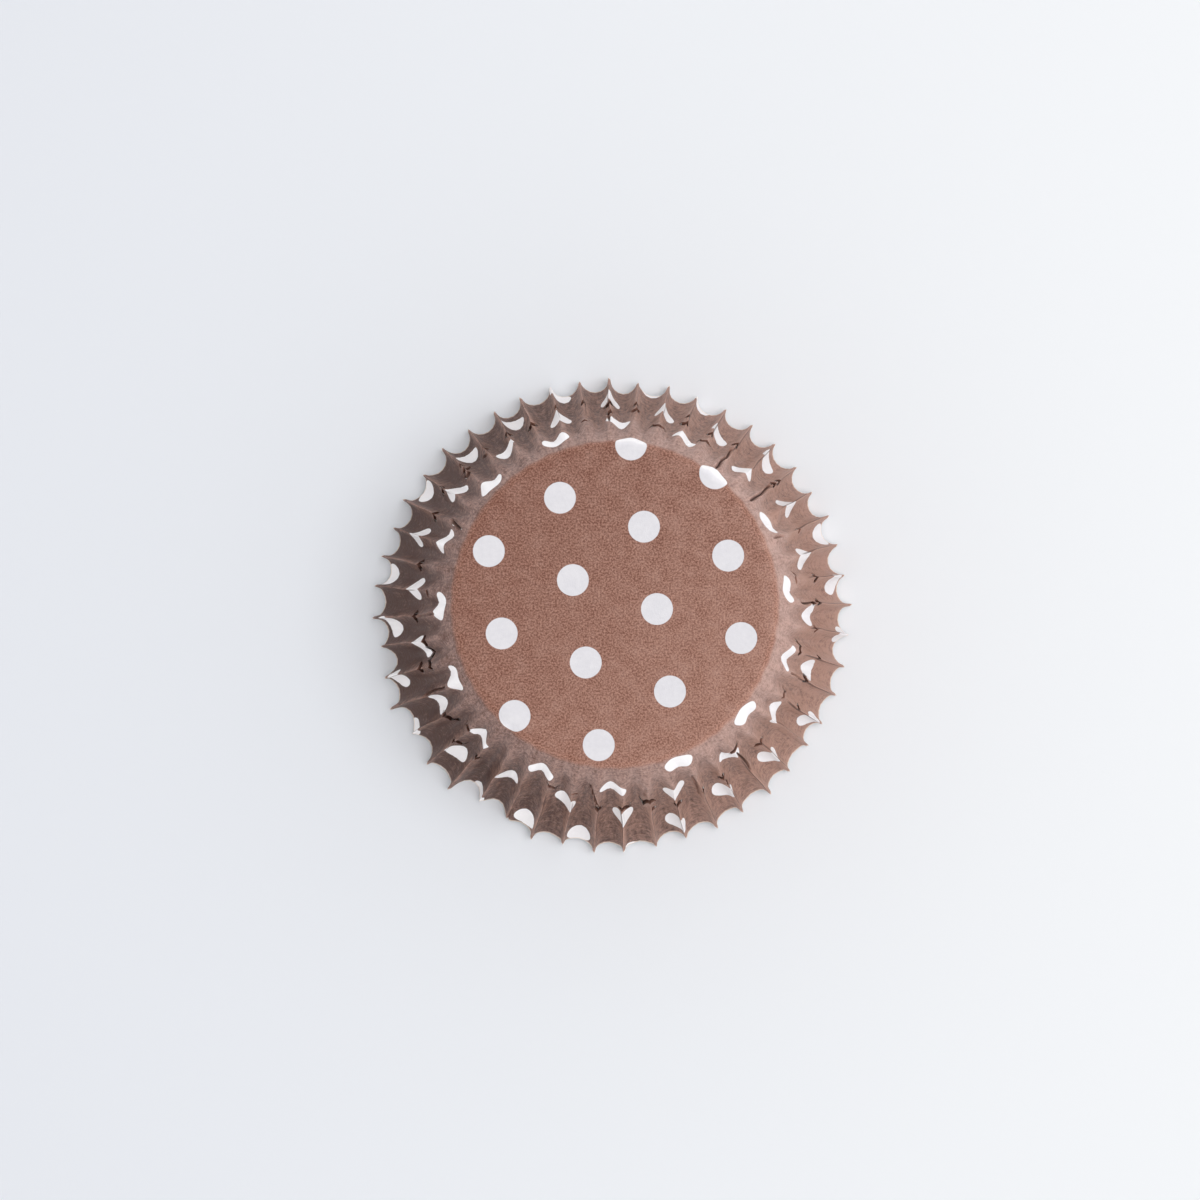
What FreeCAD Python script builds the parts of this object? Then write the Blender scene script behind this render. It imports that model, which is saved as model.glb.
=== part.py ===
"""A paper baking cup, set down upside down on its rim: a flat round base with a fluted wall.

The cup is one round sheet of thin greaseproof paper. A forming die leaves the middle flat as the
base, turns the rest down into a leaning wall, and gathers the spare paper of the wall into
flutes: sharp crests that stand outwards, with a round hollow between each two. The flutes are
shallow at the base edge and grow deeper towards the cut rim.

Frame: millimetres, +Z up. The origin is on the axis, at the level of the rim's lowest points,
so the cup stands on Z = 0 with its open side down and its base on top.
"""
import FreeCAD, Part
import math
import os

from FreeCAD import Vector

# Driving dimensions, in millimetres and degrees.
base_diameter = 51.0
wall_length = 34.0
wall_lean = 21.7
flute_count = 48
rim_flute_depth = 1.95
base_flute_depth = 0.35
crest_share = 0.55
paper_thickness = 0.08
first_crest_angle = 2.0

# The narrow flat strips that a round hollow is bent from, side by side, and the places down
# the wall, as shares of its length, where the strips bend a little to follow the flutes.
strips_per_flute = 8
bend_levels = (0.0, 0.12, 0.4, 1.0)

lean = math.radians(wall_lean)
pitch = 2 * math.pi / flute_count

# Directions in the upright plane through the middle of a flute.
level_out = Vector(1, 0, 0)
down_wall = Vector(math.sin(lean), 0, -math.cos(lean))
out_of_wall = Vector(math.cos(lean), 0, math.sin(lean))

# The cup stands on the inside of its hollows, which reach lower than the middle of the rim.
rim_hollow = (1 - crest_share) * rim_flute_depth + paper_thickness
cup_height = wall_length * math.cos(lean) + rim_hollow * math.sin(lean)


def flute_depth(level):
    """How deep the flutes are at a share of the way down the wall."""
    return base_flute_depth + (rim_flute_depth - base_flute_depth) * math.sqrt(level)


def hollow_arc(chord, hollow):
    """Points along one flute's arc, from a crest by way of the hollow to just before the next.

    Both places are given in the upright plane through the middle of the flute: the middle of
    the straight line between its two crests, and the bottom of the hollow between them.
    """
    half_chord = chord.x * math.tan(pitch / 2)
    inward = hollow - chord
    half_angle = 2 * math.atan2(inward.Length, half_chord)
    radius = half_chord / math.sin(half_angle)
    centre = hollow - inward.normalize() * radius
    points = []
    for strip in range(strips_per_flute):
        angle = half_angle * (2 * strip / strips_per_flute - 1)
        points.append(centre + inward * (radius * math.cos(angle)) + Vector(0, radius * math.sin(angle), 0))
    return points


def around(points):
    """One flute's points repeated around the axis and joined into a closed line."""
    line = []
    for flute in range(flute_count):
        turn = FreeCAD.Rotation(Vector(0, 0, 1), first_crest_angle + math.degrees((flute + 0.5) * pitch))
        line += [turn.multVec(point) for point in points]
    return Part.makePolygon(line + line[:1])


def wall_line(level, inset):
    """The closed line of one skin of the wall, at a share of the way down it."""
    depth = flute_depth(level)
    middle = Vector(base_diameter / 2, 0, cup_height) + down_wall * (level * wall_length)
    outward = level_out if level == 0 else out_of_wall
    chord = middle + outward * (crest_share * depth)
    hollow = chord - outward * depth

    # The inner skin lies inside by the paper's thickness, and further inside under a sharp crest.
    arc_half_angle = 2 * math.atan2(depth, chord.x * math.tan(pitch / 2))
    crest_inset = inset / math.cos(arc_half_angle - pitch / 2)
    chord = chord - out_of_wall * crest_inset
    hollow = hollow - out_of_wall * inset
    if level == 0:
        chord.z = hollow.z = cup_height - inset
    return around(hollow_arc(chord, hollow))


def liner():
    """The whole cup in one sweep: down the outer skin, across the cut rim and up the inner skin.

    The first and the last line are level, and the faces that close them are the base's two sides.
    """
    outer = [wall_line(level, 0) for level in bend_levels]
    inner = [wall_line(level, paper_thickness) for level in bend_levels]
    solid = Part.makeLoft(outer + inner[::-1], True, True)
    if solid.Volume < 0:
        solid.reverse()
    return solid


def main():
    os.makedirs("parts", exist_ok=True)
    cup = liner()
    cup.exportStep("parts/liner.step")
    box = cup.BoundBox
    print("valid", cup.isValid(), "solids", len(cup.Solids), "faces", len(cup.Faces))
    print("volume", round(cup.Volume, 2), "box", round(box.XLength, 3), round(box.YLength, 3))
    print("from", round(box.ZMin, 4), "to", round(box.ZMax, 3))


main()
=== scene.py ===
# %% [markdown]
# # A paper baking cup, upside down on a table
#
# The real thing is one round sheet of printed greaseproof paper. A press leaves its middle flat
# and turns the rest down into a wall with 48 flutes. This lesson makes it the same way: cut a
# flat sheet, fold it with Geometry Nodes, crease it crest by crest, give it the paper's thickness, and
# print dots on it. The imported solid is loaded first, because every size has to agree with it.

# %% Load the solid
import math

import bpy
import numpy as np
from mathutils import Matrix, Vector


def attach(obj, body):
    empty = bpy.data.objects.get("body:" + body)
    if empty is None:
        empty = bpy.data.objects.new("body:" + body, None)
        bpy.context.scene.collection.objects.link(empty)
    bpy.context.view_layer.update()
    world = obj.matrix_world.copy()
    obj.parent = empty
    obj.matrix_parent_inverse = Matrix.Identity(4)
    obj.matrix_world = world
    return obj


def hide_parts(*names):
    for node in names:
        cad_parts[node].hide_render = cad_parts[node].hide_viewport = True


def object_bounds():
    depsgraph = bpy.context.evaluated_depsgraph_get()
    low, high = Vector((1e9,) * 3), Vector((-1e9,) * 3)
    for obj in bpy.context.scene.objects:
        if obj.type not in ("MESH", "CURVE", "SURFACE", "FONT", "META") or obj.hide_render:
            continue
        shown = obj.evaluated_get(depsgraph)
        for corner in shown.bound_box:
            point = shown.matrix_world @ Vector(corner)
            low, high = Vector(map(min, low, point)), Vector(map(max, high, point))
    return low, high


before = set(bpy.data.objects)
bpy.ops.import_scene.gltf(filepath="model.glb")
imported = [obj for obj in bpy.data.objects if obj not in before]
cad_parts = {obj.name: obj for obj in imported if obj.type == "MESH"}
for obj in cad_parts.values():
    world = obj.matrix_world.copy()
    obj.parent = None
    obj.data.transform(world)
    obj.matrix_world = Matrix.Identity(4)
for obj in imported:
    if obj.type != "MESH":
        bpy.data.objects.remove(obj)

solid_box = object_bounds()
print("solid box in mm:", [[round(1000 * v, 2) for v in corner] for corner in solid_box])

# %% [markdown]
# ## Sizes
#
# They are the solid's own sizes, in metres. Only the angle of the first crest was read off this
# cup once more. The base edge gets a small bend, because paper does not fold to a knife edge over
# a press.

# %% The cup's sizes
mm = 0.001
base_radius = 25.5 * mm
wall_length = 34.0 * mm
wall_lean = math.radians(21.7)
flutes = 48
first_crest = math.radians(1.72)
edge_bend = 1.3 * mm
paper = 0.08 * mm
pitch = 2 * math.pi / flutes

turn = math.pi / 2 - wall_lean
bend_start = base_radius - edge_bend * math.tan(turn / 2)
bend_end = bend_start + edge_bend * turn
blank_radius = bend_end + wall_length - edge_bend * math.tan(turn / 2)
cup_height = solid_box[1][2]
print("blank is", round(2 * blank_radius / mm, 1), "mm across, cup is", round(cup_height / mm, 2), "mm high")

# %% [markdown]
# ## The flat blank
#
# A Grid or a Circle from the menu would spread its points evenly. Here the detail sits along the
# crests, so the rings are listed one by one: sixteen points to a flute, close together at the crest,
# and close rings over the middle of the wall, where the paper has buckled. Towards the middle of
# the sheet, which stays flat, every second ring drops half of its points.

# %% Rings of the blank
crest_steps = [0, 0.016, 0.036, 0.062, 0.1, 0.16, 0.25, 0.37]
flute_steps = crest_steps + [0.5] + [1 - step for step in crest_steps[:0:-1]]
columns = flutes * len(flute_steps)

flat_rings = [(2, 16), (7, 16), (12, 8), (15.5, 8), (18.5, 4), (20.5, 4), (22, 2), (23.2, 2)]
rings = [(radius * mm, every) for radius, every in flat_rings]
bend_shares = [-0.1, 0.15, 0.35, 0.55, 0.75, 1.0]
rings += [(bend_start + (bend_end - bend_start) * share, 1) for share in bend_shares]
upper_rings = np.linspace(1, 7.6, 7)
close_rings = np.linspace(8.4, 24.0, 40)
lower_rings = np.linspace(25.2, 32.6, 6)
down_wall = np.concatenate([upper_rings, close_rings, lower_rings])
rings += [(bend_end + distance * mm, 1) for distance in down_wall]
rings += [(blank_radius, 1)]
print(len(rings), "rings of up to", columns, "points")


# %% Cut the blank
def ring_points(radius, every):
    """The points of one ring, leaving out all but every so many columns."""
    angles = [first_crest + (flute + step) * pitch for flute in range(flutes) for step in flute_steps]
    return [(radius * math.cos(angle), radius * math.sin(angle), 0) for angle in angles[::every]]


def between(inner, outer):
    """Faces between two rings of point numbers, where the outer has as many or twice as many."""
    count, share = len(inner), len(outer) // len(inner)
    faces = []
    for i in range(count):
        j = (i + 1) % count
        far = [outer[(i * share + k) % len(outer)] for k in range(share + 1)]
        faces.append([inner[i], *far, inner[j]])
    return faces


points, faces, before = [(0, 0, 0)], [], None
for radius, every in rings:
    start = len(points)
    points += ring_points(radius, every)
    ring = list(range(start, len(points)))
    if before is None:
        faces += [[0, ring[i], ring[(i + 1) % len(ring)]] for i in range(len(ring))]
    else:
        faces += between(before, ring)
    before = ring

blank_mesh = bpy.data.meshes.new("blank")
blank_mesh.from_pydata(points, [], faces)
blank = bpy.data.objects.new("blank", blank_mesh)
bpy.context.collection.objects.link(blank)
print("blank has", len(points), "points and", len(faces), "faces")

# %% [markdown]
# ## Maths with Python's own signs
#
# A tree of Math nodes is hard to read as code. This small class wraps a socket, so that
# `1 - a * b` adds the nodes for it. The same class serves the folding and the materials, and a
# few of its methods give what both need often, such as the length of a vector.


# %% A socket that does sums
def add_node(tree, kind, settings=None, inputs=(), out=0):
    """Adds one node: settings first, then values or links for its inputs, by place or by name."""
    node = tree.nodes.new(kind)
    for name, value in (settings or {}).items():
        setattr(node, name, value)
    pairs = inputs.items() if isinstance(inputs, dict) else enumerate(inputs)
    for key, value in pairs:
        if isinstance(value, Wire):
            tree.links.new(value.socket, node.inputs[key])
        else:
            node.inputs[key].default_value = value
    return Wire(tree, node.outputs[out])


class Wire:
    """An output socket that Python's operators can work on."""

    def __init__(self, tree, socket):
        self.tree, self.socket = tree, socket

    def maths(self, operation, *values):
        return add_node(self.tree, "ShaderNodeMath", {"operation": operation}, (self, *values))

    def vector(self, operation, *values, out="Vector"):
        return add_node(self.tree, "ShaderNodeVectorMath", {"operation": operation}, (self, *values), out)

    def length(self):
        return self.vector("LENGTH", out="Value")

    def dot(self, other):
        return self.vector("DOT_PRODUCT", other, out="Value")

    def axis(self, letter):
        """The X, Y or Z of a vector."""
        return add_node(self.tree, "ShaderNodeSeparateXYZ", inputs=(self,), out=letter)

    def bearing(self):
        """The angle of a place round the middle of the sheet."""
        return self.axis("Y").maths("ARCTAN2", self.axis("X"))

    def __add__(self, other):
        return self.maths("ADD", other)

    def __sub__(self, other):
        return self.maths("SUBTRACT", other)

    def __rsub__(self, other):
        return add_node(self.tree, "ShaderNodeMath", {"operation": "SUBTRACT"}, (other, self))

    def __mul__(self, other):
        return self.maths("MULTIPLY", other)

    def __truediv__(self, other):
        return self.maths("DIVIDE", other)

    def __rtruediv__(self, other):
        return add_node(self.tree, "ShaderNodeMath", {"operation": "DIVIDE"}, (other, self))

    def __pow__(self, other):
        return self.maths("POWER", other)

    __radd__ = __add__
    __rmul__ = __mul__

    def ramp(self, low, high):
        """0 below low, 1 above high, and a soft curve between."""
        settings = {"interpolation_type": "SMOOTHSTEP", "clamp": True}
        inputs = {"Value": self, "From Min": low, "From Max": high}
        return add_node(self.tree, "ShaderNodeMapRange", settings, inputs)

    def blend(self, low, high):
        """low where this is 0, high where it is 1."""
        return low + (high - low) * self


print("sums with sockets are ready")

# %% [markdown]
# ## Folding the blank
#
# Every point of the sheet knows how far it is from the middle and at what angle. That is all the
# press needs. Its distance says how far down the wall it goes, and its angle says whether it
# lands on a crest or in a hollow. High on the wall a flute is a shallow soft wave, and from half
# way down it is a round hollow between two pinched crests, each of which ends in a beak, where
# the paper is pressed double. Spline curves lofted together would also give this, but not a sheet
# that remembers its flat shape, and the dots need that.
#
# Level is the share of the way down the wall, and a ramp on it says between which two shares a
# change comes in.

# %% The press and its inputs
press = bpy.data.node_groups.new("press the flutes", "GeometryNodeTree")
press.is_modifier = True
press.interface.new_socket("Geometry", in_out="INPUT", socket_type="NodeSocketGeometry")
press_inputs = {
    "Base radius": base_radius,
    "Bend start": bend_start,
    "Bend radius": edge_bend,
    "Wall turn": turn,
    "Wall length": wall_length,
    "Cup height": cup_height,
    "Flutes": float(flutes),
    "First crest": first_crest,
    "Depth at base": 0.13 * mm,
    "Depth at rim": 1.95 * mm,
    "Crest share": 0.35,
    "Beak length": 0.46 * mm,
    "Beak width": 0.24 * mm,
    "Hollow roundness": math.radians(80),
}
for name, value in press_inputs.items():
    press.interface.new_socket(name, in_out="INPUT", socket_type="NodeSocketFloat")
press.interface.new_socket("Paper", in_out="INPUT", socket_type="NodeSocketMaterial")
press.interface.new_socket("Geometry", in_out="OUTPUT", socket_type="NodeSocketGeometry")
print("the press has", len(press_inputs), "sizes")

# %% Where a point lies on the sheet
group_in = press.nodes.new("NodeGroupInput")
size = {socket.name: Wire(press, socket) for socket in group_in.outputs if socket.name}
place = add_node(press, "GeometryNodeInputPosition")
distance = place.length()
flute_number = (place.bearing() - size["First crest"]) * size["Flutes"] / (2 * math.pi)
from_crest = flute_number.maths("FRACT")
signed = from_crest * 2 - 1
side = signed.maths("SIGN")
to_crest = signed.maths("ABSOLUTE")
level = ((distance - size["Base radius"]) / size["Wall length"]).maths("MAXIMUM", 0)
print("each point knows its distance, its angle and its place in a flute")

# %% One flute's outline
sharp = level.ramp(0.25, 0.5)
even = level.ramp(0.55, 1.0)
beak = 0.7 * level.ramp(0.46, 0.58) + 0.3 * level.ramp(0.6, 1.0)
deepening = 0.68 * level.ramp(0.03, 0.33) + 0.24 * level.ramp(0.5, 0.7) + 0.08 * level
depth = deepening.blend(size["Depth at base"], size["Depth at rim"])
most_pinched, never_zero = 0.08, 0.0001
pinched = beak * most_pinched + never_zero
along_hollow = (to_crest / (1 - pinched)).maths("MINIMUM", 1)
along_beak = ((to_crest - (1 - pinched)) / pinched).maths("MAXIMUM", 0)

round_angle = size["Hollow roundness"]
round_cosine = round_angle.maths("COSINE")
arc_across = (along_hollow * round_angle).maths("SINE") / round_angle.maths("SINE")
arc_in = ((along_hollow * round_angle).maths("COSINE") - round_cosine) / (1 - round_cosine)
wave_in = (along_hollow * math.pi).maths("COSINE") * 0.5 + 0.5
hollow_across = even.blend(along_hollow, arc_across)
hollow_in = sharp.blend(wave_in, arc_in)

fade = distance.ramp(bend_start - 1.2 * mm, bend_start + 1.4 * mm)
beak_curve = 0.6
beak_out = size["Beak length"] * beak * along_beak ** beak_curve
outward = depth * fade * (size["Crest share"] - hollow_in) + beak_out
print("one flute is a soft wave above and a round hollow with a beak below")

# %% Bend the sheet down
past_start = (distance - size["Bend start"]).maths("MAXIMUM", 0)
bend_angle = (past_start / size["Bend radius"]).maths("MINIMUM", size["Wall turn"])
past_bend = (past_start - size["Bend radius"] * size["Wall turn"]).maths("MAXIMUM", 0)
lean_sine, lean_cosine = bend_angle.maths("SINE"), bend_angle.maths("COSINE")
flat_part = distance.maths("MINIMUM", size["Bend start"])
mean_radius = flat_part + size["Bend radius"] * lean_sine + past_bend * lean_cosine
mean_height = size["Cup height"] - size["Bend radius"] * (1 - lean_cosine) - past_bend * lean_sine
radius = mean_radius + outward * lean_sine
height = mean_height + outward * lean_cosine

half_pitch = math.pi / size["Flutes"]
beak_gap = size["Beak width"] * beak / radius.maths("MAXIMUM", mm)
sideways = half_pitch * fade.blend(to_crest, hollow_across) - beak_gap * (1 - along_beak) * along_hollow
new_angle = size["First crest"] + 2 * half_pitch * (flute_number.maths("FLOOR") + 0.5) + side * sideways
new_x = radius * new_angle.maths("COSINE")
new_y = radius * new_angle.maths("SINE")
folded = add_node(press, "ShaderNodeCombineXYZ", inputs=(new_x, new_y, height))
print("the bend turns the sheet", round(math.degrees(turn), 1), "degrees down")

# %% Remember the flat sheet, then fold
store = press.nodes.new("GeometryNodeStoreNamedAttribute")
store.data_type = "FLOAT_VECTOR"
store.inputs["Name"].default_value = "flat_place"
press.links.new(size["Geometry"].socket, store.inputs["Geometry"])
press.links.new(place.socket, store.inputs["Value"])
move = press.nodes.new("GeometryNodeSetPosition")
press.links.new(store.outputs[0], move.inputs["Geometry"])
press.links.new(folded.socket, move.inputs["Position"])
realize = press.nodes.new("GeometryNodeRealizeInstances")
press.links.new(move.outputs[0], realize.inputs[0])
dress = press.nodes.new("GeometryNodeSetMaterial")
press.links.new(realize.outputs[0], dress.inputs["Geometry"])
press.links.new(size["Paper"].socket, dress.inputs["Material"])
group_out = press.nodes.new("NodeGroupOutput")
press.links.new(dress.outputs[0], group_out.inputs[0])
print("the press has", len(press.nodes), "nodes")

# %% Press it
printed_paper = bpy.data.materials.new("printed_paper")
inside_paper = bpy.data.materials.new("inside_paper")
modifier = blank.modifiers.new("press", "NODES")
modifier.node_group = press
identifiers = {item.name: item.identifier for item in press.interface.items_tree if item.in_out == "INPUT"}
for name, value in press_inputs.items():
    modifier[identifiers[name]] = value
modifier[identifiers["Paper"]] = printed_paper

depsgraph = bpy.context.evaluated_depsgraph_get()
cup_mesh = bpy.data.meshes.new_from_object(blank.evaluated_get(depsgraph))
cup_mesh.name = "cupcake_liner"
blank.modifiers.remove(modifier)
bpy.data.objects.remove(blank)
cup = bpy.data.objects.new("cupcake_liner", cup_mesh)
bpy.context.collection.objects.link(cup)
materials_now = [material.name for material in cup_mesh.materials]
print("pressed cup has", len(cup_mesh.vertices), "points and materials", materials_now)

# %% [markdown]
# ## This cup's own creases
#
# The press makes every flute alike, and on a real cup no two are. This cup's base sits a
# millimetre off the middle of its rim, each beak reaches and leans a little differently, and over
# the middle of the wall the spare paper of most crests has buckled into small folds. These are
# moves of the points, written with numpy: each is a formula of the point's place on the flat
# sheet.

# %% Read the points
count = len(cup_mesh.vertices)
spots = np.empty(3 * count)
cup_mesh.vertices.foreach_get("co", spots)
spots = spots.reshape(count, 3)
flat = np.empty(3 * count)
cup_mesh.attributes["flat_place"].data.foreach_get("vector", flat)
flat = flat.reshape(count, 3)
flat_distance = np.hypot(flat[:, 0], flat[:, 1])
flat_angle = np.arctan2(flat[:, 1], flat[:, 0])
down = (flat_distance - base_radius) / mm
in_flutes = (flat_angle - first_crest) / pitch
crest_number = np.round(in_flutes).astype(int)
aside = (in_flutes - crest_number) * pitch * flat_distance / mm
crest_number %= flutes
share = np.clip(down * mm / wall_length, 0, 1)
rows = np.unique(np.round(down, 3))
print("the wall runs from", round(down.min(), 1), "to", round(down.max(), 1), "mm past the base edge")


# %% Soft steps
def soft(value, low, high):
    """A soft step from 0 at low to 1 at high."""
    x = np.clip((value - low) / (high - low), 0, 1)
    return x * x * (3 - 2 * x)


def bell(value, width):
    """1 at zero, falling away on both sides within a few widths."""
    return np.exp(-0.5 * (value / width) ** 2)


def sag(distance):
    """How much of the inward sag the wall has at some mm down it."""
    return soft(distance, 6, 20) * (1 - soft(distance, 23, 34))


def below(place):
    """Where a place that was seen from above lies down the wall, which the sag has drawn in."""
    return place + 1.6 * sag(place)


push, slide, bowed, sway, crease = (np.zeros(count) for _ in range(5))
mean_sag, uneven_sag, deepest_side = 0.65, 0.28, math.radians(300)
shoulder = 0.15 * bell(down - 6, 3)
push += shoulder - sag(down) * (mean_sag + uneven_sag * np.cos(flat_angle - deepest_side))
chance = np.random.default_rng(48)
print("half way down the wall sags inwards by up to", round(-push.min(), 2), "mm")

# %% [markdown]
# Push is out of the wall, slide is down it and sway is round it, all in mm. Bowed is a slide that
# bends a fold while the print on it stays put. Crease is no move: it says how dark the shade in a
# fold is, from 0 to 1. The dots show that the wall sags a little inwards half way down and flares
# towards the rim.
#
# Two kinds of small fold were seen on the real cup, and here they are placed one crest after the
# other, counted from the right. A pocket is a fold that opens upwards: the sheet dips in behind a
# lip and comes out over it. It takes three rows of points, so its place is rounded to a row, and its
# two ends bend down the wall. A slit is a groove along the crest. Places are in mm down the wall.
# Two crests fade out in the upper third of the wall.

# %% Pockets and slits, crest by crest
pockets = {  # crest: (place down the wall, place aside, half width, slant, strength)
    0: [(18.7, 0.4, 0.6, 0.3, 1.2), (17.0, 0.1, 0.4, 0.2, 0.9)],
    1: [(18.9, 0.3, 0.9, 0.0, 1.0), (10.3, 0.8, 1.2, 0.1, 0.4)],
    3: [(17.6, 0.0, 0.5, 0.0, 0.5)],
    5: [(20.2, 0.0, 0.5, 0.0, 1.3), (17.9, 0.1, 0.5, -0.2, 1.2)],
    7: [(19.2, 0.1, 0.6, -0.1, 1.2)],
    8: [(17.0, 0.1, 0.55, -0.1, 1.0), (11.6, 0.3, 1.0, 0.0, 0.9)],
    9: [(19.6, 0.0, 0.35, 0.0, 1.0), (16.0, 0.4, 0.7, 0.2, 1.3)],
    10: [(10.4, 0.2, 1.2, 0.0, 1.0)],
    11: [(19.0, 0.0, 0.5, -0.1, 1.0), (16.5, 0.1, 0.75, 0.2, 1.0)],
    12: [(18.6, 0.3, 0.7, 0.2, 1.4), (15.2, 0.2, 0.5, 0.4, 1.3)],
    13: [(20.2, 0.0, 0.45, -0.2, 1.2), (11.4, 0.1, 0.6, 0.0, 0.5)],
    14: [(21.0, 0.0, 0.3, 0.0, 0.8)],
    15: [(16.8, 0.3, 0.9, 0.3, 1.3)],
    16: [(18.8, -0.1, 0.6, -0.2, 0.9)],
    17: [(17.0, 0.8, 0.5, 0.4, 0.6), (19.2, -0.3, 0.4, -0.3, 0.6)],
    18: [(19.9, 0.0, 0.35, 0.2, 0.8), (17.2, -0.2, 0.7, -0.4, 1.0), (15.6, 0.4, 0.6, 0.4, 0.9)],
    19: [(20.4, 0.4, 0.6, 0.6, 1.0)],
    20: [(17.0, 0.2, 0.8, 0.1, 1.0)],
    22: [(15.8, 0.0, 0.8, -0.1, 1.3)],
    23: [(9.8, 0.5, 0.6, 0.0, 0.5)],
    24: [(15.6, 0.0, 0.8, -0.2, 1.3)],
    25: [(12.4, 0.6, 1.3, 0.1, 1.0)],
    26: [(17.0, -0.1, 0.8, -0.2, 1.1), (12.6, -0.8, 1.2, 0.0, 1.0)],
    28: [(15.6, 0.5, 1.5, 0.5, 1.2)],
    29: [(18.2, 0.6, 0.8, 0.3, 0.9), (11.0, -0.5, 0.7, -0.2, 0.7)],
    30: [(16.8, 0.0, 0.5, 0.2, 0.9)],
    33: [(11.0, 0.4, 0.8, -0.8, 0.9)],
    34: [(12.0, 0.6, 0.6, 0.0, 0.4)],
    35: [(16.6, 0.2, 0.6, 0.1, 1.2)],
    36: [(16.5, 0.4, 0.9, 0.1, 0.9)],
    37: [(18.0, 0.6, 0.5, 0.1, 0.9), (14.8, -0.5, 1.2, -0.2, 1.4)],
    38: [(18.8, 0.3, 0.8, 0.0, 1.0)],
    39: [(17.2, 0.3, 0.35, 0.0, 0.9)],
    40: [(19.2, 0.2, 0.3, 0.0, 0.8), (16.4, 0.1, 0.6, 0.0, 1.2)],
    41: [(9.4, 0.1, 1.0, 0.5, 0.9)],
    42: [(16.2, 0.0, 0.9, 0.1, 0.8)],
    44: [(20.8, 0.3, 0.5, 0.4, 0.9), (12.8, 0.6, 0.9, 0.0, 0.6)],
    45: [(18.3, 0.4, 0.8, 0.4, 1.3)],
    46: [(21.0, 0.1, 0.35, 0.0, 0.9), (12.6, 0.7, 1.2, 0.1, 0.9)],
    47: [(17.8, 0.2, 0.7, 0.0, 0.6)],
}
slits = {  # crest: (from, to, aside at the upper end, aside at the lower end, strength)
    0: (10.5, 17.0, 0.25, 0.15, 1.0),
    3: (4.4, 8.8, 0.1, 0.1, 0.7),
    5: (4.0, 17.6, -0.1, 0.1, 1.2),
    7: (3.6, 17.0, 0.1, 0.1, 1.1),
    12: (11.0, 15.0, 0.0, 0.2, 1.0),
    20: (4.0, 9.4, 0.6, -0.2, 1.1),
    24: (7.5, 14.5, 0.1, 0.0, 0.5),
    27: (10.5, 20.0, -0.3, -0.1, 0.8),
    30: (18.0, 22.0, 0.1, 0.1, 0.5),
    35: (9.0, 16.4, -1.3, 0.0, 1.4),
    39: (10.0, 20.0, -0.3, -0.5, 0.7),
    41: (13.0, 22.0, 0.2, 0.1, 1.0),
    45: (12.0, 17.6, 0.2, 0.0, 0.6),
    37: (9.0, 13.6, -0.3, -0.4, 0.5),
}

# %% Fold the pockets
same_row = 0.01
tuck_down, tuck_in, lip_out = 1.2, 0.55, 0.26
for crest, folds in pockets.items():
    here = np.flatnonzero(crest_number == crest)
    a, d = aside[here], down[here]
    # Painted shade: how dark each pocket's fold is painted, weaker towards the left of the cup.
    fold_shade_strength = 0.7 + 0.25 * math.cos(crest * pitch)
    for place, sidewards, half_width, slant, strength in folds:
        b = a - sidewards
        place = below(place)
        row = int(np.argmin(abs(rows - place)))
        above, under, lip = rows[row], rows[row + 1], rows[row + 2]
        wide = soft(1.25 * half_width + 0.1 - abs(b), 0, 0.4) * strength
        under_lip = np.isclose(d, under, atol=same_row)
        past_lip = (d > lip - same_row) * np.exp(-(d - lip) / 1.4)
        before = (d < above + same_row) * np.exp(-(above - d) / 1.8)
        slide[here] += wide * (tuck_down * under_lip + 0.15 * past_lip - 0.15 * before)
        push[here] += wide * (lip_out * past_lip + 0.1 * before - tuck_in * under_lip)
        bow = np.minimum(1.05 * a * a, 1.8) - slant * b
        bowed[here] += bow * bell(d - place, 2.1) * soft(2.1 - abs(a), 0, 0.5)
        shade = under_lip + 0.3 * np.isclose(d, above, atol=same_row)
        crease[here] = np.maximum(crease[here], fold_shade_strength * np.minimum(wide, 1) * shade)
print("folded", sum(len(folds) for folds in pockets.values()), "pockets")

# %% Cut the slits
groove_in, groove_lips_out = 0.8, 0.2
for crest, (start, end, high, low, strength) in slits.items():
    here = np.flatnonzero(crest_number == crest)
    a, d = aside[here], down[here]
    start, end = below(start), below(end)
    middle = high + (low - high) * (d - start) / (end - start) + 0.04 * np.sin(d / 1.2 + crest)
    along = soft(d, start - 0.8, start + 1.4) * (1 - soft(d, end - 0.4, end + 0.6))
    groove = bell(a - middle, 0.18)
    lips = bell(a - middle - 0.5, 0.2) + bell(a - middle + 0.5, 0.2)
    push[here] += strength * along * (groove_lips_out * lips - groove_in * groove)
    crease[here] = np.maximum(crease[here], along * bell(a - middle, 0.14) * min(strength, 1))
print("cut", len(slits), "slits")

# %% Two crests that start late
late_crests = {1: 0.6, 4: 1.4}  # crest: how far it is flattened, in mm
for crest, flattened in late_crests.items():
    here = np.flatnonzero(crest_number == crest)
    upper_end = soft(down[here], 2, 7) - soft(down[here], 11, 15)
    push[here] -= flattened * bell(aside[here], 1.0) * upper_end
print("flattened the upper end of", len(late_crests), "crests, as on the real cup")

# %% [markdown]
# The beaks come next. Their reach and their lean, and how far each hollow dips, were read off the
# outline of the real rim, to a twentieth of a millimetre. Two beaks at the lower left were pressed
# blunt. Higher up, the crests start a little to one side of where they end, and the print follows
# that only in part.

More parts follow.
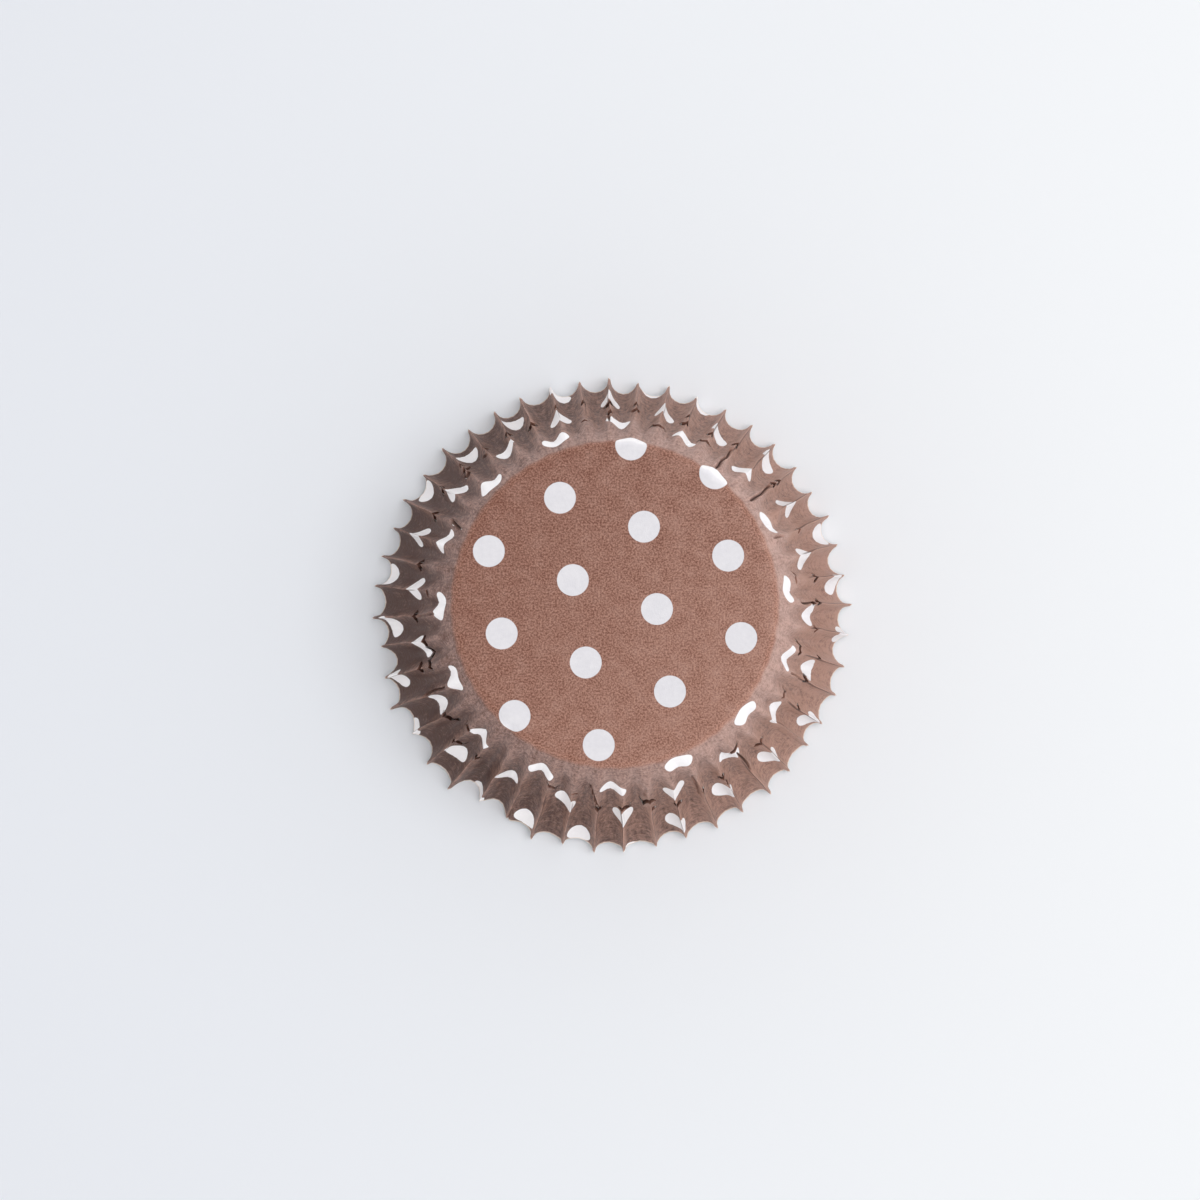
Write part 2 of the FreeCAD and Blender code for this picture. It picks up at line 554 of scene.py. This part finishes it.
# %% Each beak's own reach and lean
reaches = [
    0.75, -0.1, 0, 0.4, -0.15, 0.15, 0, 0, -0.05, -0.4, 0, -0.4,
    0.2, 0, 0, 0.1, -0.15, -0.15, 0.25, -0.3, 0.3, -0.3, 0.3, 0.3,
    0.45, -0.75, -0.1, 0.6, -0.85, 0, 0.35, -1.4, -1.4, 0.2, -0.35, 0.1,
    0.1, -0.2, -0.35, 0, -0.15, 0.45, 0, -0.3, -0.1, 0.3, 0.2, 0,
]
leans = [
    -0.15, -0.25, 0, -0.05, -0.3, -0.3, -0.05, -0.15, -0.05, 0.2, 0.15, 0.35,
    0.1, 0.05, -0.05, 0.1, -0.05, 0.1, 0.25, 0.35, 0.4, 0.25, 0, -0.2,
    -0.15, -0.45, -0.5, -0.6, -0.5, -0.3, -0.1, 0, 0.05, 0.05, 0.05, 0.2,
    0, 0.15, 0.25, 0.4, 0.2, 0.65, 0.25, 0.4, -0.3, -0.1, -0.3, -0.1,
]
dips = [
    0.05, 0.65, 0.2, 0.45, 0.5, 0.3, 0.55, 0.45, 0.55, 0.45, 0.45, 0.65,
    0.3, 0.3, 0.3, 0.45, 0.6, 0.6, 0.25, 0, 0.25, 0.15, 0, -0.3,
    0.15, 0.9, -0.1, 0.3, 0.45, -0.35, 1.45, 1.3, -0.2, -0.15, 0, -0.3,
    -0.35, 0.25, 0, -0.15, -0.1, -0.3, -0.3, 0.1, -0.25, -0.35, 0.45, 0,
]
twist_crests = [0, 3, 5, 7, 9, 14, 18, 21, 24, 27, 30, 33, 36, 39, 41, 45, 48]
high_twists = [-0.4, -0.8, -0.7, -0.4, 0, 0, 0.4, 0.5, 0.4, 0.7, 0.2, 0.1, 0.2, 0.5, 0.1, 0, -0.4]
around = in_flutes % flutes
high_twist = np.interp(around, twist_crests, high_twists)
reach_here = np.array(reaches)[crest_number]
lean_here = np.interp(around, np.arange(flutes + 1), leans + leans[:1])
dip_here = np.array(dips)[np.floor(in_flutes).astype(int) % flutes]
longer_beak = np.maximum(reach_here, 0) * bell(aside, 0.5) * soft(share, 0.62, 1)
shorter_beak = np.minimum(reach_here, 0) * bell(aside, 0.8) * soft(share, 0.5, 1)
in_hollow = 0.5 - 0.5 * np.cos(2 * math.pi * in_flutes)
usual_dip = 0.38
deeper_hollow = (dip_here - usual_dip) * (1 - (1 - in_hollow) ** 2) * soft(share, 0.4, 1)
push += longer_beak + shorter_beak - deeper_hollow
toward_rim = soft(share, 0.3, 1)
sway += lean_here * toward_rim + high_twist * (1 - toward_rim) * soft(share, 0, 0.15)
print("beaks reach from", min(reaches), "to", max(reaches), "mm")

# %% [markdown]
# No crest runs quite straight. Each gets a ripple sideways and one up and down, its own slope on
# both sides, and a ridge of pinched paper that has folded over to one side, with a line of shade
# along it. The cut edge isn't quite even either. All of this is by chance, from a fixed start, so
# the cup comes out the same each time.

# %% Chance ripples and the pinched ridge
ripple_sideways, ripple_out, ridge_lean = 0.12, 0.10, 0.1
for crest in range(flutes):
    here = np.flatnonzero(crest_number == crest)
    a, d = aside[here], down[here]
    ripple = np.sin(d / chance.uniform(1.6, 2.6) + chance.uniform(0, 6))
    sway[here] += ripple_sideways * ripple * soft(d, 5, 10) * (1 - soft(d, 21, 30)) * bell(a, 1.0)
    ripple = np.sin(d / chance.uniform(2, 3) + chance.uniform(0, 6))
    push[here] += ripple_out * ripple * soft(d, 4, 9) * bell(a, 0.7)
    push[here] += chance.normal(0, 0.12) * bell(abs(a) - 1.4, 0.7) * soft(d, 8, 20)
    folded_to = chance.choice([-1, 1])
    ridge = soft(d, 16.0, 20.0)
    sway[here] += ridge_lean * folded_to * bell(a, 0.13) * ridge
    dark = chance.uniform(0.7, 1.4) * (1 + 0.3 * math.cos(crest * pitch))
    line = dark * bell(a - 0.26 * folded_to, 0.11) + 0.35 * bell(a + 0.22 * folded_to, 0.07)
    line *= ridge * (1 - soft(d, 30, 33))
    crease[here] = np.maximum(crease[here], line)

edge_wave = np.zeros(count)
for _ in range(10):
    swing = chance.normal(0, 0.05)
    waves_around = chance.integers(9, 90)
    edge_wave += swing * np.sin(around * waves_around * pitch + chance.uniform(0, 6))
slide += edge_wave * soft(down, 31, 34) + bowed
print("the cut edge waves by up to", round(abs(edge_wave).max(), 2), "mm")

# %% [markdown]
# Now the moves are made. The base sits off the middle of the rim, so the wall is stretched a
# little on one side and drawn in on the other, until its rim is a circle again. The flat place
# of each point is written anew, because the print has to lie on the sheet as it is now. Its z
# holds the share of the way down the wall.

# %% Move the points
azimuth = np.arctan2(spots[:, 1], spots[:, 0])
radius_now = np.hypot(spots[:, 0], spots[:, 1])
radius_new = radius_now + (push * math.cos(wall_lean) + slide * math.sin(wall_lean)) * mm
height_new = spots[:, 2] + (push * math.sin(wall_lean) - slide * math.cos(wall_lean)) * mm
sway_angle = sway * mm / np.maximum(radius_now, 10 * mm)
turned = azimuth + sway_angle

base_shift = np.array([0.861, 0.681]) * mm
along = base_shift[0] * np.cos(turned) + base_shift[1] * np.sin(turned)
rim_radius = 39.08 * mm
reach = -along + np.sqrt(along ** 2 + rim_radius ** 2 - base_shift @ base_shift)
stretch = (reach - base_radius) / (rim_radius - base_radius)
stretched = base_radius + (radius_new - base_radius) * stretch
radius_new = np.where(radius_new > base_radius, stretched, radius_new)
x_new = base_shift[0] + radius_new * np.cos(turned)
y_new = base_shift[1] + radius_new * np.sin(turned)
spots = np.column_stack([x_new, y_new, height_new])

run = wall_length * math.sin(wall_lean)
drop = wall_length * math.cos(wall_lean)
longer = np.sqrt((run * stretch) ** 2 + drop ** 2) / wall_length
print_stays = 0.8
flat_turned = flat_angle + print_stays * sway_angle
flat_now = np.where(down > 0, base_radius + (down + bowed) * mm * longer, flat_distance)
flat = np.column_stack([flat_now * np.cos(flat_turned), flat_now * np.sin(flat_turned), share])
cup_mesh.vertices.foreach_set("co", spots.ravel())
cup_mesh.attributes["flat_place"].data.foreach_set("vector", flat.ravel())
cup_mesh.attributes.new("crease", "FLOAT", "POINT").data.foreach_set("value", np.minimum(crease, 1))
# Partly rubbed ink, partly painted light: the crests are painted paler, a thin painted highlight runs along
# each ridge, and the hollows get painted shade.
rubbed_and_painted_light = soft(share, 0.1, 0.5) * (0.7 * bell(aside, 0.4) - 0.5 * in_hollow)
rubbed_and_painted_light += 0.7 * soft(share, 0.48, 0.6) * bell(aside, 0.12)
cup_mesh.attributes.new("rubbed_and_painted_light", "FLOAT", "POINT").data.foreach_set("value", rubbed_and_painted_light)
cup_mesh.update()
print("cup is now", np.round((spots.max(0) - spots.min(0)) / mm, 2), "mm")

# %% [markdown]
# ## Thickness
#
# Solidify turns the sheet into a closed thin body. It grows inwards, so the printed side keeps
# its place. Its material offsets give the inside and the cut rim the plain white paper.

# %% Give the paper its thickness
cup_mesh.materials.append(inside_paper)
thick = cup.modifiers.new("thickness", "SOLIDIFY")
thick.thickness = paper
thick.offset = -1
thick.material_offset = 1
thick.material_offset_rim = 1
depsgraph = bpy.context.evaluated_depsgraph_get()
thick_mesh = bpy.data.meshes.new_from_object(cup.evaluated_get(depsgraph))
cup.modifiers.remove(thick)
cup.data = thick_mesh
bpy.data.meshes.remove(cup_mesh)
cup.data.name = "cupcake_liner"
lowest = min(vertex.co.z for vertex in cup.data.vertices)
cup.data.transform(Matrix.Translation((0, 0, -lowest)))
cup.data.shade_smooth()
sharp_fold = math.radians(48)
cup.data.set_sharp_from_angle(angle=sharp_fold)
cup.data.calc_loop_triangles()
print("closed cup has", len(cup.data.loop_triangles), "triangles")

# %% [markdown]
# ## The print
#
# White dots are left bare on a brown ground. They lie on a staggered lattice of the flat sheet,
# so the pattern reads the remembered flat place and bends with the paper. The nearest lattice
# point comes from two dot products and two roundings, with no picture. The ink is a fine
# speckle on the base. On the wall it is painted greyer, for painted sheen, and darker low down, for
# painted shade; along the crests it is paler, partly rubbed ink and partly painted highlight, and in
# the hollows it gets painted shade. The wall's bare paper is painted whiter than the base's, and
# towards the right the wall's ink is painted paler and its bare paper darker, all painted light.

# %% The lattice of dots
dot_radius = 2.5
one_dot = (-6.60, 3.78)
step_a = (2.032, -12.955)
step_b = (13.217, -4.563)
cell = step_a[0] * step_b[1] - step_a[1] * step_b[0]
count_a = (step_b[1] / cell, -step_b[0] / cell, 0)
count_b = (-step_a[1] / cell, step_a[0] / cell, 0)
print("dots lie", round(math.hypot(*step_a), 2), "mm apart")


# %% Printed paper
def fresh_tree(material):
    """An empty node tree with a shader, and the shader."""
    material.use_nodes = True
    material.node_tree.nodes.clear()
    shader = material.node_tree.nodes.new("ShaderNodeBsdfPrincipled")
    output = material.node_tree.nodes.new("ShaderNodeOutputMaterial")
    material.node_tree.links.new(shader.outputs[0], output.inputs[0])
    return material.node_tree, shader


def colour(red, green, blue):
    """A screen colour, 0 to 255, as the linear colour that a shader takes."""
    parts = [value / 255 for value in (red, green, blue)]
    return (*[v / 12.92 if v <= 0.04045 else ((v + 0.055) / 1.055) ** 2.4 for v in parts], 1)


def mix(factor, low, high):
    """A colour between two: on this node the colours are inputs 6 and 7 and output 2."""
    return add_node(factor.tree, "ShaderNodeMix", {"data_type": "RGBA"}, {0: factor, 6: low, 7: high}, 2)


def noise(place, scale, detail=2.0, roughness=0.5):
    """A soft random pattern between 0 and 1, of so many spots to a unit of the place."""
    inputs = {"Vector": place, "Scale": scale, "Detail": detail, "Roughness": roughness}
    return add_node(place.tree, "ShaderNodeTexNoise", inputs=inputs)


def remembered(tree, name, out):
    """What each point of the mesh remembers under a name."""
    return add_node(tree, "ShaderNodeAttribute", {"attribute_name": name}, out=out)


to_mm = (1000, 1000, 0)
tree, shader = fresh_tree(printed_paper)
flat_place = remembered(tree, "flat_place", "Vector")
in_mm = flat_place.vector("MULTIPLY", to_mm)
wall = flat_place.axis("Z")
moved = in_mm.vector("SUBTRACT", (*one_dot, 0))
near_a = moved.dot(count_a).maths("ROUND")
near_b = moved.dot(count_b).maths("ROUND")
at_a = add_node(tree, "ShaderNodeVectorMath", {"operation": "SCALE"}, {0: (*step_a, 0), "Scale": near_a})
at_b = add_node(tree, "ShaderNodeVectorMath", {"operation": "SCALE"}, {0: (*step_b, 0), "Scale": near_b})
gap = moved.vector("SUBTRACT", at_a.vector("ADD", at_b)).length()
ragged = noise(in_mm, 2.2) * 0.06 - 0.03
edge_blur = 0.05
bare = (gap + ragged).ramp(dot_radius + edge_blur, dot_radius - edge_blur)
print("the dots are", 2 * dot_radius, "mm across")


# %% Patterns in the ink
def drawn_out(per_radian, per_mm, detail):
    """Noise with so many spots to a radian round the sheet and to a mm from its middle."""
    inputs = (in_mm.bearing() * per_radian, in_mm.length() * per_mm, 0)
    return noise(add_node(tree, "ShaderNodeCombineXYZ", inputs=inputs), 1.0, detail, 0.6)


streaks = drawn_out(44, 0.16, 3.0)
mottle = drawn_out(75, 0.9, 2.0)
crepe = drawn_out(22, 2.6, 3.0)
grain = noise(in_mm, 3.4, 3.0, 0.7)
blotches = noise(in_mm, 0.35, 3.0)
fibre = noise(in_mm, 1.5, 3.0)
painted_fold_shade = remembered(tree, "crease", "Fac").ramp(0.1, 1.0)
# The crests' rubbed ink and painted highlight, and the hollows' painted shade.
rubbed_and_painted_light = remembered(tree, "rubbed_and_painted_light", "Fac")
on_wall = (wall + blotches * 0.03 - 0.015).ramp(-0.01, 0.035)
low_wall = wall.ramp(0.1, 0.5)
print("five patterns for the ink, one for the bare paper, and two marks that the mesh remembers")

# %% Ink and bare paper
base_darkness, wall_darkness = 0.31, 1.98
lower_right = in_mm.dot((0.7, -0.7, 0)) * 0.006
# Painted light: the wall's ink is painted paler towards the lamp on the right, and its bare paper is painted
# darker there and lighter towards the left.
painted_side_light = in_mm.dot((1, 0.05, 0)) * 0.0105
base_speckle = grain.ramp(0.34, 0.66) * 0.95 + blotches * 0.6 - base_darkness + lower_right
wall_pattern = grain * 1.1 + mottle * 1.4 + streaks * 0.9 + crepe * 1.0 + blotches * 0.6
wall_speckle = wall_pattern - wall_darkness + rubbed_and_painted_light * 0.34 + painted_side_light
base_ink = mix(base_speckle, colour(112, 68, 54), colour(181, 135, 117))
# Painted sheen and shade: the wall's ink is painted greyer than the base's, for the sheen of paper seen
# edge-on, and darker low on the wall, for painted shade.
high_ink_painted_sheen = mix(wall_speckle, colour(93, 59, 47), colour(180, 146, 135))
low_ink_painted_shade = mix(wall_speckle, colour(76, 47, 37), colour(164, 126, 111))
ink = mix(on_wall, base_ink, mix(low_wall, high_ink_painted_sheen, low_ink_painted_shade))
base_white = mix(fibre, colour(214, 213, 219), colour(228, 227, 232))
# Painted light: the wall's bare paper is painted whiter than the base's, for light that the steep wall does
# not get.
painted_lighter_wall_white = mix(fibre * 0.4 + 0.4 - painted_side_light, colour(229, 227, 230), colour(248, 246, 248))
print("ink and bare paper have their colours")

# %% Paint, painted rim highlight and painted shade
paint = mix(bare, ink, mix(on_wall, base_white, painted_lighter_wall_white))
# Painted highlight: a pale cream band along the rim.
painted_rim_highlight = wall.ramp(0.978, 0.988) * 0.7
paint = mix(painted_rim_highlight, paint, colour(240, 222, 208))
# Painted shade: folds, slits and ridges are painted dark brown where shade falls in them.
paint = mix(painted_fold_shade * 0.8, paint, colour(64, 34, 24))
tree.links.new(paint.socket, shader.inputs["Base Color"])
shader.inputs["Roughness"].default_value = 0.52
shader.inputs["Sheen Weight"].default_value = 0.05
shader.inputs["Sheen Roughness"].default_value = 0.4
shader.inputs["Specular IOR Level"].default_value = 0.28
fine_bumps = noise(in_mm, 5.0, 3.0) * (0.6 - on_wall * 0.3)
wall_bumps = (crepe + streaks + mottle) * 1.4 * on_wall
bump_inputs = {"Strength": 0.7, "Distance": 0.08 * mm, "Height": fine_bumps + wall_bumps}
bump = add_node(tree, "ShaderNodeBump", inputs=bump_inputs)
tree.links.new(bump.socket, shader.inputs["Normal"])
print("the dots say where the ink ends and the bare paper shows")

# %% Plain paper inside
tree, shader = fresh_tree(inside_paper)
in_mm = remembered(tree, "flat_place", "Vector").vector("MULTIPLY", to_mm)
fibre = noise(in_mm, 2.5, 4.0)
paint = mix(fibre, colour(228, 224, 220), colour(243, 241, 238))
tree.links.new(paint.socket, shader.inputs["Base Color"])
shader.inputs["Roughness"].default_value = 0.6
bump = add_node(tree, "ShaderNodeBump", inputs={"Strength": 0.3, "Distance": 0.04 * mm, "Height": fibre})
tree.links.new(bump.socket, shader.inputs["Normal"])
print("inside paper is plain")

# %% [markdown]
# ## Table, light and camera
#
# A pale floor, painted a little darker and bluer to the left as painted shade from the lamp, a soft
# sky that is brightest near the skyline, and one large lamp high up, a little to the right. Together
# they light a level surface so that a colour looks as it is written. The camera looks down from
# 65 cm, a little from the front, through a long lens.

# %% Floor
floor_mesh = bpy.data.meshes.new("floor")
half = 1.5
corners = [(-half, -half, 0), (half, -half, 0), (half, half, 0), (-half, half, 0)]
floor_mesh.from_pydata(corners, [], [(0, 1, 2, 3)])
floor = bpy.data.objects.new("floor", floor_mesh)
bpy.context.collection.objects.link(floor)
floor_paint = bpy.data.materials.new("pale_table")
tree, shader = fresh_tree(floor_paint)
# Painted shade: the floor is painted darker and bluer to the left, away from the lamp.
painted_floor_shade_ramp = add_node(tree, "ShaderNodeTexCoord", out="Object").axis("X").ramp(-0.15, 0.15)
paint = mix(painted_floor_shade_ramp, colour(235, 239, 246), colour(242, 245, 248))
tree.links.new(paint.socket, shader.inputs["Base Color"])
shader.inputs["Roughness"].default_value = 0.7
shader.inputs["Specular IOR Level"].default_value = 0.2
floor_mesh.materials.append(floor_paint)
print("floor is level with the rim")

# %% Sky
world = bpy.data.worlds.new("soft_sky")
bpy.context.scene.world = world
world.use_nodes = True
sky = world.node_tree.nodes["Background"]
sky.inputs["Color"].default_value = (1.0, 0.98, 0.96, 1)
skyline_strength = 2.9
upwards = add_node(world.node_tree, "ShaderNodeTexCoord", out="Generated").axis("Z").maths("MAXIMUM", 0)
glow = skyline_strength * (1 - upwards) ** 2
world.node_tree.links.new(glow.socket, sky.inputs["Strength"])
print("the sky is brightest all round the skyline")

# %% Lamp
lamp_data = bpy.data.lights.new("window", "AREA")
lamp_data.shape = "DISK"
lamp_data.size = 0.8
lamp_data.energy = 6.45
lamp_data.color = (0.985, 0.985, 0.995)
lamp = bpy.data.objects.new("window", lamp_data)
bpy.context.collection.objects.link(lamp)
lamp_place = Vector((0.31, 0.01, 0.95))
lamp.location = lamp_place
lamp.rotation_mode = "QUATERNION"
lamp.rotation_quaternion = (-lamp_place).to_track_quat("-Z", "Y")
print("lamp is", round(lamp_place.length, 2), "m away")

# %% Camera
camera_data = bpy.data.cameras.new("camera")
camera_data.sensor_width = 36
camera_data.lens = 117.9
camera_data.clip_start, camera_data.clip_end = 0.01, 10
camera = bpy.data.objects.new("camera", camera_data)
bpy.context.collection.objects.link(camera)
look_sideways, look_forwards = math.radians(-0.815), math.radians(2.212)
sight = Vector((math.sin(look_sideways), math.sin(look_forwards), 0))
sight.z = -math.sqrt(1 - sight.length_squared)
rightward = sight.cross(Vector((0, 1, 0))).normalized()
upward = rightward.cross(sight)
axes = Matrix((rightward, upward, -sight)).transposed().to_4x4()
look_at = Vector((-0.001937, 0.002578, 0))
camera_distance = 0.65
camera.matrix_world = Matrix.Translation(look_at - camera_distance * sight) @ axes
bpy.context.scene.camera = camera
bpy.context.scene.view_settings.view_transform = "Standard"
print("camera is at", [round(1000 * v, 1) for v in camera.location], "mm")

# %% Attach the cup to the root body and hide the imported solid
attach(cup, "root")
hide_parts("liner")
